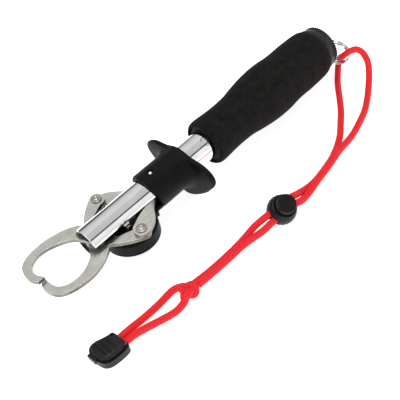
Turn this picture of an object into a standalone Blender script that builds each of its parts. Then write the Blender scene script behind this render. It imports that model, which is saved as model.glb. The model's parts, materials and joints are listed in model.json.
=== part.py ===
"""Fish lip grip: two plate jaws on one pivot, opened by a sliding trigger, with a spring scale in the handle.

Lengths below are millimetres. X runs along the tool from the tube's mouth towards the jaw tips, Y to the
side where the lanyard lies, Z up. The floor is under the trigger flange's lower edge.
"""

import math

import bmesh
import bpy
from mathutils import Matrix, Vector
from mathutils.geometry import tessellate_polygon

MM = 0.001
MOUTH_X = 95.9
AXIS_Z = 24.5

TUBE_R, TUBE_BORE, TUBE_END = 10.0, 9.0, -165.0
SLOT_HALF, SLOT_END = 3.06, -60.0
BLOCK_R = 8.7
PLATE, LAYER_GAP = 2.5, 0.15
PIVOT = (-7.0, 0.0)
RIVET = (-26.5, 20.5)
LINK_PIN_X = -56.0
HUB_R, PIVOT_PIN_R = 6.6, 2.5
RIVET_R, RIVET_HEAD_R, OPEN_HOLE_R = 1.8, 3.4, 2.6
LINK_PIN_R = 1.7
LEFT_FULLER = 2.0

SLEEVE_R, SLEEVE_BORE = 13.0, 10.4
FRONT_X, FRONT_SLOPE = -49.6, 0.19
FLANGE_FRONT, FLANGE_REAR = -77.2, -80.3
DRUM = (-30.8, 0.0)
DRUM_R, DRUM_TOP, DRUM_LIP, DRUM_BOTTOM = 17.75, -11.0, -19.0, -20.5
DRUM_CAVITY_R, DRUM_ROOF = 16.1, -12.5
TAPE_X, TAPE_TOP, TAPE_LOW = -45.4, -13.0, -17.7

FOAM_FRONT, FOAM_END, FOAM_BORE = -100.1, -208.0, 13.3
CORE_R, CORE_BORE = 13.0, 12.4
CAP_FACE, CAP_END, CAP_R = -212.8, -216.8, 14.7
LUG_HOLE = Vector((-219.5, 0.3, -0.3))
LUG_AXIS = Vector((0.0, 0.67, 0.742))
LUG_HOLE_R, LUG_WALL, LUG_HALF = 2.4, 1.7, 1.3
RING_CENTRE = Vector((-223.1, 7.2, -7.0))
RING_NORMAL = Vector((-0.933, -0.318, 0.169))
RING_R, RING_WIRE = 10.3, 0.75

CORD_R = 2.2
LOCK = Vector((-94.9, 66.0, 9.3))
LOCK_R = 9.2
BUTTON_AXIS = Vector((0.038, 0.530, 0.848))
CORD_WAY = Vector((1.0, -0.092, 0.013))
BUTTON_R, BUTTON_TOP, BUTTON_FOOT = 6.0, 11.6, -3.6
KNOT = Vector((-19.8, 59.1, 4.7))
CLIP_TRAY, CLIP_TOP = 4.7, 6.8
CLIP_HINGE = (27.4, 51.65, 6.0)

BLACK, STEEL, POLISHED = (0.015, 0.015, 0.016), (0.62, 0.62, 0.61), (0.80, 0.80, 0.80)
FOAM, RED = (0.022, 0.022, 0.021), (0.62, 0.02, 0.035)


def clear_scene():
    for thing in list(bpy.data.objects):
        bpy.data.objects.remove(thing, do_unlink=True)


def at(x, y, z):
    """A point measured from the tube's mouth and axis."""
    return Vector((x + MOUTH_X, y, z + AXIS_Z)) * MM


def lying(x, y, h):
    """A point measured along the tool and up from the floor."""
    return Vector((x + MOUTH_X, y, h)) * MM


def frame(origin, forward, side=None):
    """Placement whose local X points forward and local Y leans to side. The origin is in metres."""
    x = Vector(forward).normalized()
    hint = Vector(side) if side else Vector((0, 0, 1)).cross(x)
    if hint.length < 1e-6:
        hint = Vector((0, 1, 0))
    z = x.cross(hint).normalized()
    y = z.cross(x)
    turn = Matrix((x, y, z)).transposed().to_4x4()
    return Matrix.Translation(origin) @ turn


ALONG = frame(at(0, 0, 0), (1, 0, 0), (0, 1, 0))
UPRIGHT = Matrix.Translation(at(0, 0, 0))


def material(name, colour, metal, rough):
    made = bpy.data.materials.new(name)
    made.use_nodes = True
    shader = made.node_tree.nodes["Principled BSDF"]
    shader.inputs["Base Color"].default_value = (*colour, 1.0)
    shader.inputs["Metallic"].default_value = metal
    shader.inputs["Roughness"].default_value = rough
    return made


def link(name, data, look=None):
    thing = bpy.data.objects.new(name, data)
    bpy.context.scene.collection.objects.link(thing)
    if look:
        data.materials.append(material(name + "_material", *look))
    return thing


def solid(name, points, faces, look=None):
    """A closed mesh, its faces turned outwards. A body with no look is a cutter."""
    shape = bmesh.new()
    verts = [shape.verts.new(p) for p in points]
    for face in faces:
        shape.faces.new([verts[i] for i in face])
    bmesh.ops.recalc_face_normals(shape, faces=shape.faces)
    data = bpy.data.meshes.new(name)
    shape.to_mesh(data)
    shape.free()
    data.shade_smooth()
    data.set_sharp_from_angle(angle=math.radians(32))
    made = link(name, data, look)
    if look is None:
        made.hide_render = True
        made.display_type = "WIRE"
    return made


def lathe(name, profile, place=ALONG, look=None, steps=32):
    """Turns a closed (along, radius) outline about the placement's local X."""
    points, rings = [], []
    for along, radius in profile:
        if radius == 0:
            rings.append([len(points)])
            points.append(place @ (Vector((along, 0, 0)) * MM))
            continue
        rings.append(range(len(points), len(points) + steps))
        for i in range(steps):
            a = 2 * math.pi * i / steps
            points.append(place @ (Vector((along, radius * math.cos(a), radius * math.sin(a))) * MM))
    faces = []
    for here, there in zip(rings, rings[1:] + rings[:1]):
        for i in range(steps):
            j = (i + 1) % steps
            if len(here) > 1 and len(there) > 1:
                faces.append((here[i], here[j], there[j], there[i]))
            elif len(here) > 1:
                faces.append((here[i], here[j], there[0]))
            elif len(there) > 1:
                faces.append((here[0], there[j], there[i]))
    return solid(name, points, faces, look)


def rod(name, radius, start, end, place=ALONG, look=None, steps=24):
    return lathe(name, [(start, 0), (start, radius), (end, radius), (end, 0)], place, look, steps)


def pipe(name, inner, outer, start, end, place=ALONG, look=None, steps=32):
    profile = [(start, inner), (start, outer), (end, outer), (end, inner)]
    return lathe(name, profile, place, look, steps)


def prism(name, loops, low, high, place=UPRIGHT, look=None):
    """Extrudes an outline, with any holes after it, from low to high along the placement's local Z."""
    flat = [Vector((x, y, 0)) for loop in loops for x, y in loop]
    caps = tessellate_polygon([[Vector((x, y, 0)) for x, y in loop] for loop in loops])
    count = len(flat)
    points = [place @ ((p + Vector((0, 0, level))) * MM) for level in (low, high) for p in flat]
    faces = [tuple(cap) for cap in caps] + [tuple(i + count for i in reversed(cap)) for cap in caps]
    start = 0
    for loop in loops:
        size = len(loop)
        for i in range(size):
            a, b = start + i, start + (i + 1) % size
            faces.append((a, b, b + count, a + count))
        start += size
    return solid(name, points, faces, look)


def box(name, low, high, place=UPRIGHT, look=None):
    outline = [(low[0], low[1]), (high[0], low[1]), (high[0], high[1]), (low[0], high[1])]
    return prism(name, [outline], low[2], high[2], place, look)


def circle(x, y, radius, steps=20):
    return [
        (x + radius * math.cos(2 * math.pi * i / steps), y + radius * math.sin(2 * math.pi * i / steps))
        for i in range(steps)
    ]


def arc(x, y, radius, start, end, steps):
    turn = [math.radians(start + (end - start) * i / steps) for i in range(steps + 1)]
    return [(x + radius * math.cos(a), y + radius * math.sin(a)) for a in turn]


def curve_through(points, parts):
    """Catmull-Rom curve through every point given."""
    points = [Vector(p) for p in points]
    ends = [2 * points[0] - points[1], *points, 2 * points[-1] - points[-2]]
    made = []
    for a, b, c, d in zip(ends, ends[1:], ends[2:], ends[3:]):
        for i in range(parts):
            t = i / parts
            square, cube = 2 * a - 5 * b + 4 * c - d, 3 * b - a - 3 * c + d
            made.append(0.5 * (2 * b + (c - a) * t + square * t * t + cube * t**3))
    return [*made, points[-1]]


def mirrored(outline):
    return [(x, -y) for x, y in reversed(outline)]


def cut(target, cutter, operation="DIFFERENCE"):
    made = target.modifiers.new(cutter.name, "BOOLEAN")
    made.operation = operation
    made.solver = "EXACT"
    made.object = cutter


def merge(target, other):
    other.hide_render = True
    other.display_type = "WIRE"
    cut(target, other, "UNION")


def wire(name, points, radius, look, sides=1):
    """A round wire through points in metres, its ends closed."""
    data = bpy.data.curves.new(name, "CURVE")
    data.dimensions = "3D"
    data.bevel_depth = radius * MM
    data.bevel_resolution = sides
    data.use_fill_caps = True
    spline = data.splines.new("POLY")
    spline.points.add(len(points) - 1)
    for knot, point in zip(spline.points, points):
        knot.co = (*point, 1.0)
    return link(name, data, look)


def coil(name, start, end, radius, thick, turns, per_turn, place, look):
    """A compression spring along the placement's local X."""
    points = []
    for i in range(turns * per_turn + 1):
        a = 2 * math.pi * i / per_turn
        along = start + thick + (end - start - 2 * thick) * i / (turns * per_turn)
        points.append(place @ (Vector((along, radius * math.cos(a), radius * math.sin(a))) * MM))
    return wire(name, points, thick, look)


def thinned(points, longest=11.0, sharpest=20.0):
    """Keeps a point of a fine path wherever it has run far enough or turned enough."""
    kept, heading = [points[0]], (points[1] - points[0]).normalized()
    for here, there in zip(points[1:], points[2:]):
        now = (there - here).normalized()
        turned = math.degrees(heading.angle(now, 0.0))
        if (here - kept[-1]).length > longest * MM or turned > sharpest:
            kept.append(here)
            heading = now
    return [*kept, points[-1]]


def upright_at(x, y):
    """Placement whose local X points up, for round pieces that stand on end."""
    return frame(at(x, y, 0), (0, 0, 1), (1, 0, 0))


def build_tube():
    tube = pipe("main_tube", TUBE_BORE, TUBE_R, TUBE_END, 0, look=(POLISHED, 1.0, 0.08), steps=48)
    cut(tube, box("tube_side_slot", (SLOT_END, -12, -SLOT_HALF), (2, 12, SLOT_HALF)))
    cut(tube, box("tube_pin_slot", (-70.5, -2.4, -12), (-53.4, 2.4, 12)))
    cut(tube, rod("tube_cross_hole", 1.3, -13, 13, frame(at(-162.5, 0, 0), (0, 1, 0)), steps=12))

    block = rod("front_pivot_block", BLOCK_R, -24.5, -2.5, look=(BLACK, 0.0, 0.45), steps=40)
    jaw_space = [(0, -12), (0, 12), (-26, 12), (-26, 3.5), (-16, 3.5), (-16, -3.5), (-26, -3.5)]
    jaw_space += [(-26, -12)]
    cut(block, prism("block_jaw_space", [jaw_space], -3.1, 3.1))
    cut(block, rod("block_pivot_hole", PIVOT_PIN_R + 0.15, -12, 12, upright_at(*PIVOT)))
    cut(block, rod("block_rod_hole", 2.3, -26, -18.5, steps=16))
    rod("jaw_pivot_pin", PIVOT_PIN_R, -7.4, 7.4, upright_at(*PIVOT), (STEEL, 1.0, 0.3))
    rod("guide_rod", 2.0, -47.5, -18.9, look=(POLISHED, 1.0, 0.15), steps=16)
    rod("spring_stop_plug", BLOCK_R, -97.0, -92.3, look=(BLACK, 0.0, 0.5))

    collar = pipe("scale_collar", TUBE_R + 0.3, 12.1, -165.0, -160.0, look=(STEEL, 1.0, 0.4))
    cut(collar, rod("collar_cross_hole", 1.3, -13, 13, frame(at(-162.5, 0, 0), (0, 1, 0)), steps=12))
    rod("collar_pin", 1.0, -11.9, 11.9, frame(at(-162.5, 0, 0), (0, 1, 0)), (STEEL, 1.0, 0.3), 12)
    coil("scale_spring", -159.5, -108.5, 11.22, 0.75, 7, 16, ALONG, (STEEL, 1.0, 0.35))


def fuller(outline, bulge):
    """Moves the far side of a jaw's ring outwards by up to bulge, easing in from the tip and towards the hub."""
    moved = []
    for x, y in outline:
        way = Vector((x - 16.0, y))
        share = max(0.0, min(1.0, (100 - math.degrees(math.atan2(way.y, way.x))) / 50)) * min(1.0, y / 3.0)
        moved.append(tuple(Vector((x, y)) + bulge * share * way.normalized()))
    return moved


def jaw_outline(bulge):
    """The +Y jaw and its lever, one plate, anticlockwise from the notch between them."""
    outer = [(-5.5, 13.8), (-2.8, 15.6), (1.5, 18), (9, 20.4), (16, 21), (25, 19.7), (31.5, 17), (35, 13.2)]
    outer += [(36.5, 7), (36, 2.5)]
    inner = [(31.2, 0.25), (31.4, 4), (30.9, 8.6), (28.8, 11.6), (25, 13.8), (20, 14.6), (14.5, 13.9)]
    inner += [(10.5, 12.4), (5.6, 9.4), (2.5, 6), (0.2, 2.2)]
    lever = [(-14.4, 8.5), (-16, 11.2), (-19.5, 12.6), (-24.4, 14.8), (-28, 15.2), (-30.4, 17), (-31.2, 20.5)]
    lever += [(-30, 24), (-27, 25.6), (-24, 24.4), (-18, 20.5), (-12.5, 16), (-8.6, 11.6)]
    parts = [(-7.4, 11.2)]
    parts += [tuple(p) for p in curve_through(fuller(outer, bulge), 2)]
    parts += [(34.2 + bulge, 0.25)]
    parts += [tuple(p) for p in curve_through(fuller(inner, bulge), 2)]
    parts += arc(*PIVOT, HUB_R, 5, -205, 14)
    parts += [tuple(p) for p in curve_through(lever, 2)]
    return parts


def link_outline():
    """The +Y link, from its boss on the sliding pin out to the lever's rivet."""
    outer = [(-50.5, 8.2), (-45.5, 11.8), (-42.1, 14.6), (-39.8, 17.7), (-35.4, 22.3), (-29.9, 25.3)]
    outer += [(-26.3, 26.0), (-22.8, 24.4), (-21.6, 20.3), (-23.4, 16.2), (-27.5, 14.1), (-32.5, 11.9)]
    outer += [(-37, 10.4), (-41, 9.4), (-46.5, 4.6)]
    return arc(LINK_PIN_X, 0, 3.5, -20, -235, 12) + [tuple(p) for p in curve_through(outer, 2)]


def build_linkage():
    lower, upper = (-PLATE - LAYER_GAP, -LAYER_GAP), (LAYER_GAP, PLATE + LAYER_GAP)
    lever_link = link_outline()
    pivot_hole = circle(*PIVOT, PIVOT_PIN_R + 0.15, 24)
    for side, hand, jaw_layer, link_layer in (("right", 1, lower, upper), ("left", -1, upper, lower)):
        turn = list if hand > 0 else mirrored
        x, y = RIVET[0], RIVET[1] * hand
        jaw = jaw_outline(0.0 if hand > 0 else LEFT_FULLER)
        jaw_loops = [turn(jaw), pivot_hole, circle(x, y, RIVET_R + 0.3)]
        prism("jaw_" + side, jaw_loops, *jaw_layer, look=(STEEL, 1.0, 0.28))
        link_loops = [turn(lever_link), circle(LINK_PIN_X, 0, LINK_PIN_R + 0.3), circle(x, y, OPEN_HOLE_R)]
        prism("link_" + side, link_loops, *link_layer, look=(STEEL, 1.0, 0.28))
        reach = PLATE + LAYER_GAP + 0.3
        rivet = [(-reach - 1.2, 0), (-reach - 1.2, RIVET_HEAD_R - 0.5), (-reach - 0.5, RIVET_HEAD_R)]
        rivet += [(-reach, RIVET_HEAD_R), (-reach, RIVET_R), (reach, RIVET_R), (reach, RIVET_HEAD_R)]
        rivet += [(reach + 0.4, RIVET_HEAD_R), (reach + 0.6, RIVET_HEAD_R - 0.3)]
        rivet += [(reach + 0.6, RIVET_HEAD_R - 1.0)]
        rivet += [(reach + 1.2, RIVET_HEAD_R - 1.3), (reach + 1.5, RIVET_HEAD_R - 2.1), (reach + 1.5, 0.7)]
        rivet += [(reach + 1.1, 0)]
        lathe("rivet_" + side, rivet, upright_at(x, y), (STEEL, 1.0, 0.2), 24)


def flange_rim():
    """The flange's rim, as points of angle from +Y towards +Z and distance from the tube's axis."""
    rim = [(98, 13.1, 0), (90, 13.1, 0), (68, 13.2, 0), (50, 14.2, 0), (37, 16.9, 0), (23, 23.6, 0)]
    rim += [(10, 29.0, 0), (0, 29.9, 0), (-8, 28.4, 0), (-18, 25.9, 0), (-30, 24.3, 0)]
    rim += [(-44, 23.0, 0), (-60, 22.7, 0)]
    rim += [(-75, 23.6, 0), (-90, 24.5, 0), (-98, 24.3, 0)]
    return curve_through(rim, 6)


def flange_reach(angle, rim):
    """Distance from the tube's axis to the rim. Both halves of the flange are alike."""
    folded = angle if abs(angle) <= 90 else math.copysign(180, angle) - angle
    for high, low in zip(rim, rim[1:]):
        if low.x <= folded <= high.x:
            return low.y + (high.y - low.y) * (folded - low.x) / (high.x - low.x)
    return rim[-1].y


def build_trigger():
    steps = 64
    stations = [("face", SLEEVE_BORE, 0.0), ("face", SLEEVE_R - 1.9, 0.0), ("face", SLEEVE_R - 0.7, -0.5)]
    stations += [("face", SLEEVE_R - 0.1, -1.4), ("face", SLEEVE_R, -2.6), (-68.0, 0.0), (-71.5, 0.03)]
    stations += [(-74.0, 0.10), (-75.8, 0.20), (-76.7, 0.33), (FLANGE_FRONT, 0.60), (FLANGE_FRONT - 0.3, 0.86)]
    stations += [(FLANGE_FRONT - 0.8, 0.97), (FLANGE_FRONT - 1.5, 1.0), (FLANGE_REAR + 0.6, 0.99)]
    stations += [(FLANGE_REAR, 0.96), (FLANGE_REAR, -1.0)]
    points, rim = [], flange_rim()
    for station in stations:
        for i in range(steps):
            a = 2 * math.pi * i / steps
            if station[0] == "face":
                radius = station[1]
                x = FRONT_X + FRONT_SLOPE * radius * math.sin(a) + station[2]
            elif station[1] < 0:
                x, radius = station[0], SLEEVE_BORE
            else:
                reach = flange_reach(math.degrees(math.atan2(math.sin(a), math.cos(a))), rim)
                x, radius = station[0], SLEEVE_R + (reach - SLEEVE_R) * station[1]
            points.append(at(x, radius * math.cos(a), radius * math.sin(a)))
    faces = []
    count = len(stations)
    for k in range(count):
        for i in range(steps):
            j, n = (i + 1) % steps, (k + 1) % count
            faces.append((k * steps + i, k * steps + j, n * steps + j, n * steps + i))
    body = solid("trigger_body", points, faces, (BLACK, 0.0, 0.38))

    sideways = frame(at(0, 0, 0), (1, 0, 0), (0, 0, 1))
    neck_side = [(-61, -2), (-54.5, -2), (-52.3, -3.8), (-47, -4.6), (-45.2, -7.5), (-44.2, -11.2), (-43, -18.7)]
    neck_side += [(-53, -18.7), (-58, -15), (-61, -11)]
    core = rod("drum_core", DRUM_R - 0.8, -30, DRUM_TOP - 0.8, upright_at(*DRUM), steps=40)
    bore = rod("neck_bore", SLEEVE_BORE + 0.5, -90, -30, steps=40)
    neck = prism("trigger_neck", [neck_side], -12.4, 12.4, sideways, (BLACK, 0.0, 0.38))
    cut(neck, rod("neck_section", SLEEVE_R - 0.12, -90, -30, steps=40), "INTERSECT")
    cut(neck, bore)
    cut(neck, core)
    merge(body, neck)
    web_side = [(-47.7, -5.5), (-46.3, -6.1), (-45.3, -8.0), (-44.4, -11.2), (-44.0, -12.3), (-47.7, -12.3)]
    web = prism("trigger_web", [web_side], -9.5, 9.5, sideways, (BLACK, 0.0, 0.38))
    cut(web, bore)
    cut(web, core)
    merge(body, web)
    drum = [(DRUM_TOP, 0), (DRUM_TOP, DRUM_R - 2.0), (DRUM_TOP - 0.5, DRUM_R - 0.7), (DRUM_TOP - 1.6, DRUM_R)]
    drum += [(DRUM_LIP, DRUM_R), (DRUM_LIP, DRUM_CAVITY_R), (DRUM_ROOF, DRUM_CAVITY_R), (DRUM_ROOF, 0)]
    merge(body, lathe("trigger_drum", drum, upright_at(*DRUM), (BLACK, 0.0, 0.38), 48))
    spout = box("tape_spout", (-48.0, -18.0, -18.5), (-43.4, -8.0, -12.2), look=(BLACK, 0.0, 0.4))
    cut(spout, core)
    merge(body, spout)
    slot_low, slot_high = (TAPE_X - 0.55, -19, TAPE_LOW - 0.3), (TAPE_X + 0.55, -4.3, TAPE_TOP + 0.3)
    cut(body, box("tape_mouth", slot_low, slot_high))
    cut(body, rod("trigger_pin_hole", LINK_PIN_R + 0.3, -11.3, 14, upright_at(LINK_PIN_X, 0), steps=20))

    block = rod("slide_block", BLOCK_R, -62, -34, look=(BLACK, 0.0, 0.45), steps=40)
    link_space = [(-33, 12), (-60, 12), (-60, -12), (-33, -12), (-33, -3.2), (-38.5, -3.2)]
    link_space += [(-38.5, 3.2), (-33, 3.2)]
    cut(block, prism("block_link_space", [link_space], -2.95, 2.95))
    cut(block, rod("block_pin_hole", LINK_PIN_R + 0.3, -12, 12, upright_at(LINK_PIN_X, 0), steps=20))
    cut(block, rod("block_guide_hole", 2.3, -39.5, -33, steps=16))
    pin = [(-10.9, 0), (-10.9, LINK_PIN_R - 0.3), (-10.6, LINK_PIN_R), (11.5, LINK_PIN_R)]
    pin += [(12.0, LINK_PIN_R - 0.3), (12.3, LINK_PIN_R - 0.9), (12.4, 0)]
    lathe("link_pin", pin, upright_at(LINK_PIN_X, 0), (POLISHED, 1.0, 0.15), 20)
    coil("trigger_return_spring", -92.0, -62.3, 6.9, 0.6, 7, 12, ALONG, (STEEL, 1.0, 0.35))


def build_tape():
    centre = upright_at(*DRUM)
    cover = pipe("tape_case_cover", 1.6, DRUM_R, DRUM_BOTTOM, DRUM_LIP - 0.3, centre, (BLACK, 0.0, 0.42), 48)
    cut(cover, rod("cover_screw_recess", 2.9, DRUM_BOTTOM - 1, DRUM_BOTTOM + 0.7, centre))
    screw = [(DRUM_BOTTOM + 0.05, 0), (DRUM_BOTTOM + 0.05, 2.5), (DRUM_BOTTOM + 0.55, 2.5)]
    screw += [(DRUM_BOTTOM + 0.55, 1.2), (-15.2, 1.2), (-15.2, 0)]
    lathe("cover_screw", screw, centre, (STEEL, 1.0, 0.3), 20)
    axle = [(DRUM_ROOF - 0.3, 0), (DRUM_ROOF - 0.3, 2.5), (-18.8, 2.5), (-18.8, 1.5), (-14.5, 1.5), (-14.5, 0)]
    lathe("tape_spool_pin", axle, centre, (BLACK, 0.0, 0.5), 20)
    spool = [(-18.7, 2.8), (-18.7, 15.0), (-18.1, 15.0), (-18.1, 6.0), (-13.2, 6.0), (-13.2, 5.4)]
    spool += [(-18.1, 5.4), (-18.1, 2.8)]
    lathe("tape_spool", spool, centre, (BLACK, 0.0, 0.5), 32)
    pipe("tape_coil", 6.3, 14.2, TAPE_LOW, TAPE_TOP, centre, ((0.75, 0.62, 0.12), 0.3, 0.4), 40)
    windings, thick = [], 0.14
    for i in range(41):
        a = 2 * math.pi * i / 16
        windings.append((3.1 + 1.9 * i / 40, a))
    rim = [(DRUM[0] + (r + thick) * math.cos(a), (r + thick) * math.sin(a)) for r, a in windings]
    rim += [(DRUM[0] + (r - thick) * math.cos(a), (r - thick) * math.sin(a)) for r, a in reversed(windings)]
    prism("tape_power_spring", [rim], -17.7, -13.5, look=(STEEL, 1.0, 0.35))

    blade_low, blade_high = (TAPE_X - 0.2, -20.6, TAPE_LOW), (TAPE_X + 0.2, 5.0, TAPE_TOP)
    box("tape_blade", blade_low, blade_high, look=((0.75, 0.62, 0.12), 0.3, 0.4))
    tab = box("tape_tab", (-47.6, -23.4, -18.4), (-43.2, -18.4, -12.3), look=(STEEL, 1.0, 0.3))
    cut(tab, box("tab_slit", (TAPE_X - 0.5, -20.9, -20), (TAPE_X + 0.5, -17, -11)))


def build_handle():
    outline = [(FOAM_FRONT, FOAM_BORE), (FOAM_FRONT, 13.9), (-100.7, 14.8), (-102.0, 15.5), (-104.5, 15.75)]
    outline += [(-108.3, 15.6), (-114.5, 15.2), (-120.5, 15.05), (-126.5, 15.15), (-132.5, 15.5)]
    outline += [(-139.0, 16.6), (-145.1, 17.5), (-150.5, 18.2), (-156.5, 18.6), (-162.0, 18.7)]
    outline += [(-166.9, 18.6), (-172.0, 18.1), (-177.4, 17.8), (-183.0, 17.8), (-188.5, 17.95)]
    outline += [(-199.3, 17.7), (-204.5, 17.3), (-207.0, 16.6), (FOAM_END, 15.7), (FOAM_END, FOAM_BORE)]
    lathe("foam_grip", outline, look=(FOAM, 0.0, 0.95), steps=40)
    pipe("grip_core_tube", CORE_BORE, CORE_R, -212.4, -102.5, look=(STEEL, 1.0, 0.4), steps=40)
    bushing = [(-108.0, TUBE_R + 0.3), (-108.0, CORE_BORE - 0.3), (-102.2, CORE_BORE - 0.3)]
    bushing += [(-102.2, CORE_R), (-101.2, CORE_R), (-101.2, TUBE_R + 0.3)]
    lathe("grip_front_bushing", bushing, look=(BLACK, 0.0, 0.5), steps=40)
    band = [(-212.5, FOAM_BORE), (-212.5, 14.9), (-212.0, 15.3), (-208.8, 15.5), (-208.3, 15.1)]
    band += [(-208.3, FOAM_BORE)]
    lathe("grip_rear_band", band, look=(BLACK, 0.0, 0.35), steps=40)

    knurl, teeth = [], 44
    for i in range(teeth * 2):
        a = math.pi * i / teeth
        r = CAP_R if i % 2 else CAP_R - 0.7
        knurl.append((r * math.cos(a), r * math.sin(a)))
    across = frame(at(0, 0, 0), (0, 1, 0), (0, 0, 1))
    cap = prism("end_cap", [knurl], CAP_END, CAP_FACE, across, (BLACK, 0.0, 0.4))
    merge(cap, rod("cap_spigot", CORE_BORE - 0.3, CAP_FACE - 0.5, -199.0, look=(BLACK, 0.0, 0.4), steps=40))
    down = LUG_AXIS.cross(Vector((1, 0, 0)))
    flat = Matrix.Translation(at(*LUG_HOLE)) @ Matrix(((1, 0, 0), down, LUG_AXIS)).transposed().to_4x4()
    reach = LUG_HOLE_R + LUG_WALL
    root = CAP_END - LUG_HOLE[0] + 1.0
    tongue = [(root, -reach), (root, reach)] + arc(0, 0, reach, 90, 270, 12)
    lug = prism("cap_lug", [tongue], -LUG_HALF, LUG_HALF, flat, (BLACK, 0.0, 0.4))
    merge(cap, lug)
    cut(cap, prism("lug_hole", [circle(0, 0, LUG_HOLE_R, 20)], -3, 3, flat))

    normal = RING_NORMAL.normalized()
    out = LUG_HOLE - RING_CENTRE
    out = (out - out.dot(normal) * normal).normalized()
    side = normal.cross(out)
    points = []
    for angle in range(340, 981, 14):
        lift = 0.86 * max(-1.0, min(1.0, (angle - 660) / 40))
        a = math.radians(angle)
        spot = RING_CENTRE + RING_R * (math.cos(a) * out + math.sin(a) * side) + lift * normal
        points.append(at(*spot))
    wire("split_ring", points, RING_WIRE, (POLISHED, 1.0, 0.12), 2)


def build_lock():
    up = BUTTON_AXIS.normalized()
    along = (CORD_WAY - CORD_WAY.dot(up) * up).normalized()
    place = frame(lying(*LOCK), up, along)
    ball = [(-LOCK_R, 0)]
    for degrees in range(-75, 76, 15):
        a = math.radians(degrees)
        ball.append((LOCK_R * math.sin(a), LOCK_R * math.cos(a)))
    ball.append((LOCK_R, 0))
    body = lathe("cord_lock_body", ball, place, (BLACK, 0.0, 0.45), 28)
    cut(body, rod("lock_button_bore", BUTTON_R + 0.35, -5.9, 12, place, steps=28))
    cut(body, rod("lock_spring_pocket", 3.0, -7.9, -5, place, steps=20))
    cut(body, box("lock_cord_channel", (-2.5, -12, -4.95), (2.5, 12, 4.95), place))
    press = [(BUTTON_FOOT, 0), (BUTTON_FOOT, BUTTON_R), (BUTTON_TOP - 0.6, BUTTON_R)]
    press += [(BUTTON_TOP, BUTTON_R - 0.6), (BUTTON_TOP, 0)]
    button = lathe("cord_lock_button", press, place, (BLACK, 0.0, 0.4), 28)
    cut(button, box("button_cord_slot", (-2.5, -8, -4.95), (4.5, 8, 4.95), place))
    coil("cord_lock_spring", -7.7, -3.8, 2.3, 0.22, 3, 10, place, (STEEL, 1.0, 0.3))


def build_clip():
    edge = [(25.2, 56.4), (25.2, 52.0), (25.3, 48.6), (26.2, 46.2), (29.0, 44.6), (32.6, 42.9), (36.2, 41.5)]
    edge += [(39.6, 41.1), (42.4, 42.9), (43.9, 46.8), (44.1, 51.4), (43.1, 55.8), (40.3, 58.4), (35.6, 59.4)]
    edge += [(29.2, 59.6), (26.2, 58.7)]
    base = [tuple(p) for p in curve_through([*edge, edge[0]], 3)[:-1]]
    stand = Matrix.Translation(lying(0, 0, 0))
    tray = prism("clip_base", [base], 0.0, CLIP_TRAY, stand, (BLACK, 0.0, 0.4))
    for name, y in (("clip_ear_a", 45.3), ("clip_ear_b", 56.55)):
        merge(tray, box(name, (26.4, y, 3.5), (28.8, y + 1.45, CLIP_TOP + 0.2), stand, (BLACK, 0.0, 0.4)))
    cut(tray, box("clip_hollow", (28.0, 46.9, 0.3), (38.5, 56.4, CLIP_TRAY + 3), stand))
    cut(tray, box("clip_cord_mouth", (24.0, 46.9, 0.3), (29.0, 56.4, CLIP_TRAY + 3), stand))
    pin_line = frame(lying(*CLIP_HINGE), (0, 1, 0), (1, 0, 0))
    cut(tray, rod("clip_ear_hole", 0.8, -8.0, 8.0, pin_line, steps=12))
    rod("clip_hinge_pin", 0.6, -6.1, 6.1, pin_line, (STEEL, 1.0, 0.3), 12)

    rim = [(29.1, 46.4), (32.8, 44.5), (36.4, 43.0), (39.4, 42.7), (41.6, 44.1), (42.8, 47.2), (43.0, 51.4)]
    rim += [(42.0, 55.0), (39.7, 57.2), (35.5, 58.2), (29.1, 58.4)]
    rim = [tuple(p) for p in curve_through(rim, 2)]
    lid = [(27.4, 47.1), (29.1, 47.1), *rim, (29.1, 56.2), (27.4, 56.2)]
    low = CLIP_TRAY + 0.3
    cover = prism("clip_cover", [lid], low, CLIP_TOP, stand, (BLACK, 0.0, 0.38))
    merge(cover, rod("cover_barrel", 1.05, -4.5, 4.5, pin_line, (BLACK, 0.0, 0.38), 16))
    look = (BLACK, 0.0, 0.38)
    merge(cover, box("latch_tongue", (41.0, 45.5, low + 0.1), (45.4, 51.7, low + 1.1), stand, look))
    merge(cover, box("latch_hook", (44.5, 45.5, 2.6), (45.4, 51.7, low + 0.8), stand, look))
    cut(cover, rod("cover_pin_bore", 0.8, -8, 8, pin_line, steps=12))


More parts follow.
